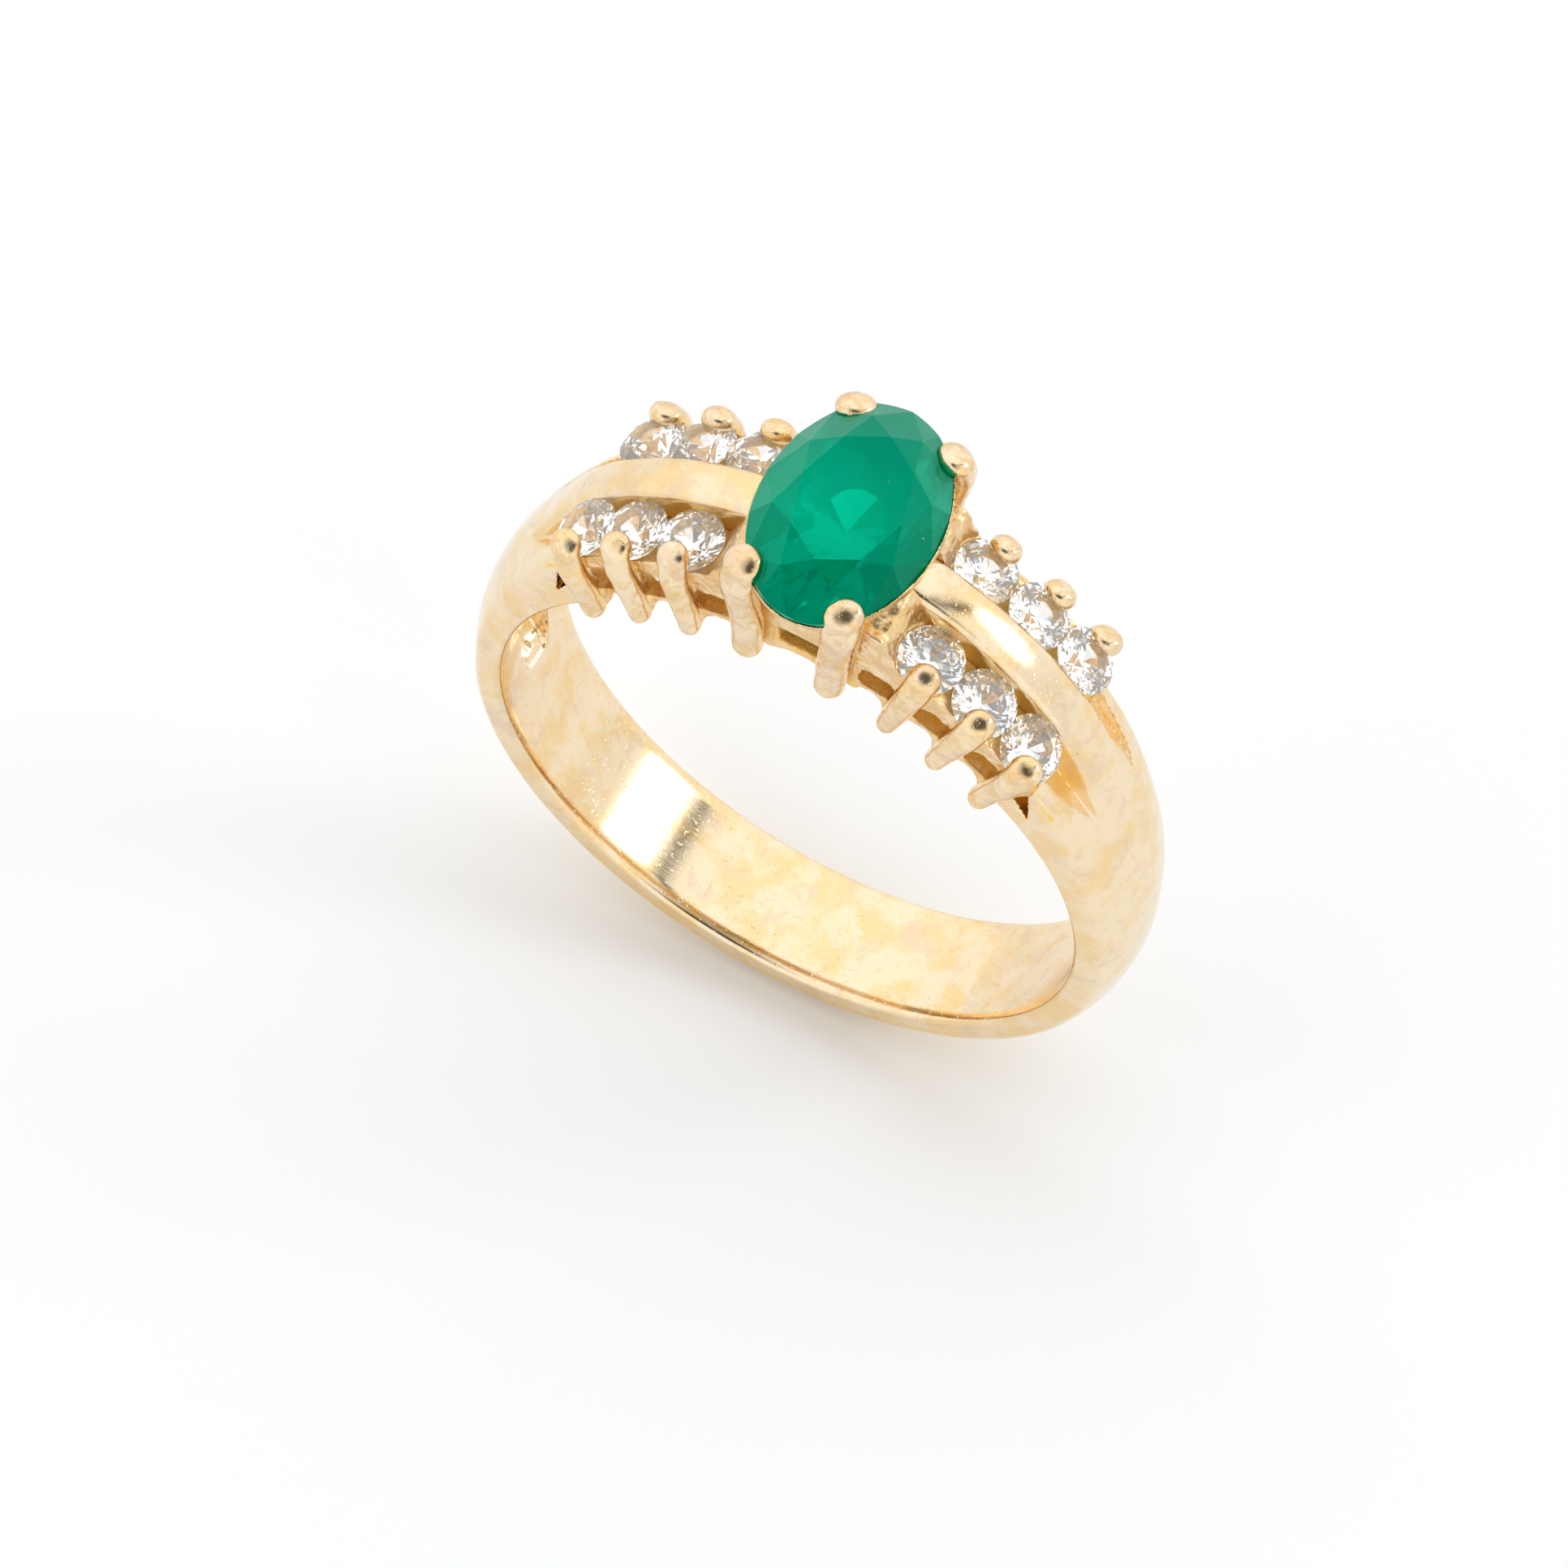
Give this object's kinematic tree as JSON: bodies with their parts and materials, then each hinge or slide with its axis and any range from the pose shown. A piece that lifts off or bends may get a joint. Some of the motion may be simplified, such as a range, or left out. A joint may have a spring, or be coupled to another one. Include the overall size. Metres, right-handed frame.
{
  "type": "cluster dress ring",
  "caption": "Gold finger ring with an oval green centre stone in claws, and rows of small clear brilliants along both sides of each shoulder.",
  "frame": {"origin": "centre of the finger bore, midway between the band's two edges", "axes": "+Y runs along the finger, from the front of the ring to its back; +Z points from the bore through the centre stone; +X is to the right, seen from the front"},
  "size_m": [0.0202, 0.007, 0.0249],
  "materials": {
    "polished_gold": "polished",
    "cast_gold": "satin",
    "claw_gold": "polished",
    "green_stone": "gloss",
    "white_stone": "gloss"
  },
  "bodies": {
    "root": {"shank": "polished_gold", "ribbon_left": "polished_gold", "ribbon_right": "polished_gold", "centre_head": "cast_gold", "gallery_front_left": "cast_gold", "gallery_front_right": "cast_gold", "gallery_back_left": "cast_gold", "gallery_back_right": "cast_gold", "centre_claw_front_left": "claw_gold", "centre_claw_front_right": "claw_gold", "centre_claw_back_left": "claw_gold", "centre_claw_back_right": "claw_gold", "accent_claw_front_left_1": "claw_gold", "accent_claw_front_left_2": "claw_gold", "accent_claw_front_left_3": "claw_gold", "accent_claw_front_right_1": "claw_gold", "accent_claw_front_right_2": "claw_gold", "accent_claw_front_right_3": "claw_gold", "accent_claw_back_left_1": "claw_gold", "accent_claw_back_left_2": "claw_gold", "accent_claw_back_left_3": "claw_gold", "accent_claw_back_right_1": "claw_gold", "accent_claw_back_right_2": "claw_gold", "accent_claw_back_right_3": "claw_gold", "centre_stone": "green_stone", "accent_stone_front_left_1": "white_stone", "accent_stone_front_left_2": "white_stone", "accent_stone_front_left_3": "white_stone", "accent_stone_front_right_1": "white_stone", "accent_stone_front_right_2": "white_stone", "accent_stone_front_right_3": "white_stone", "accent_stone_back_left_1": "white_stone", "accent_stone_back_left_2": "white_stone", "accent_stone_back_left_3": "white_stone", "accent_stone_back_right_1": "white_stone", "accent_stone_back_right_2": "white_stone", "accent_stone_back_right_3": "white_stone"}
  },
  "joints": []
}
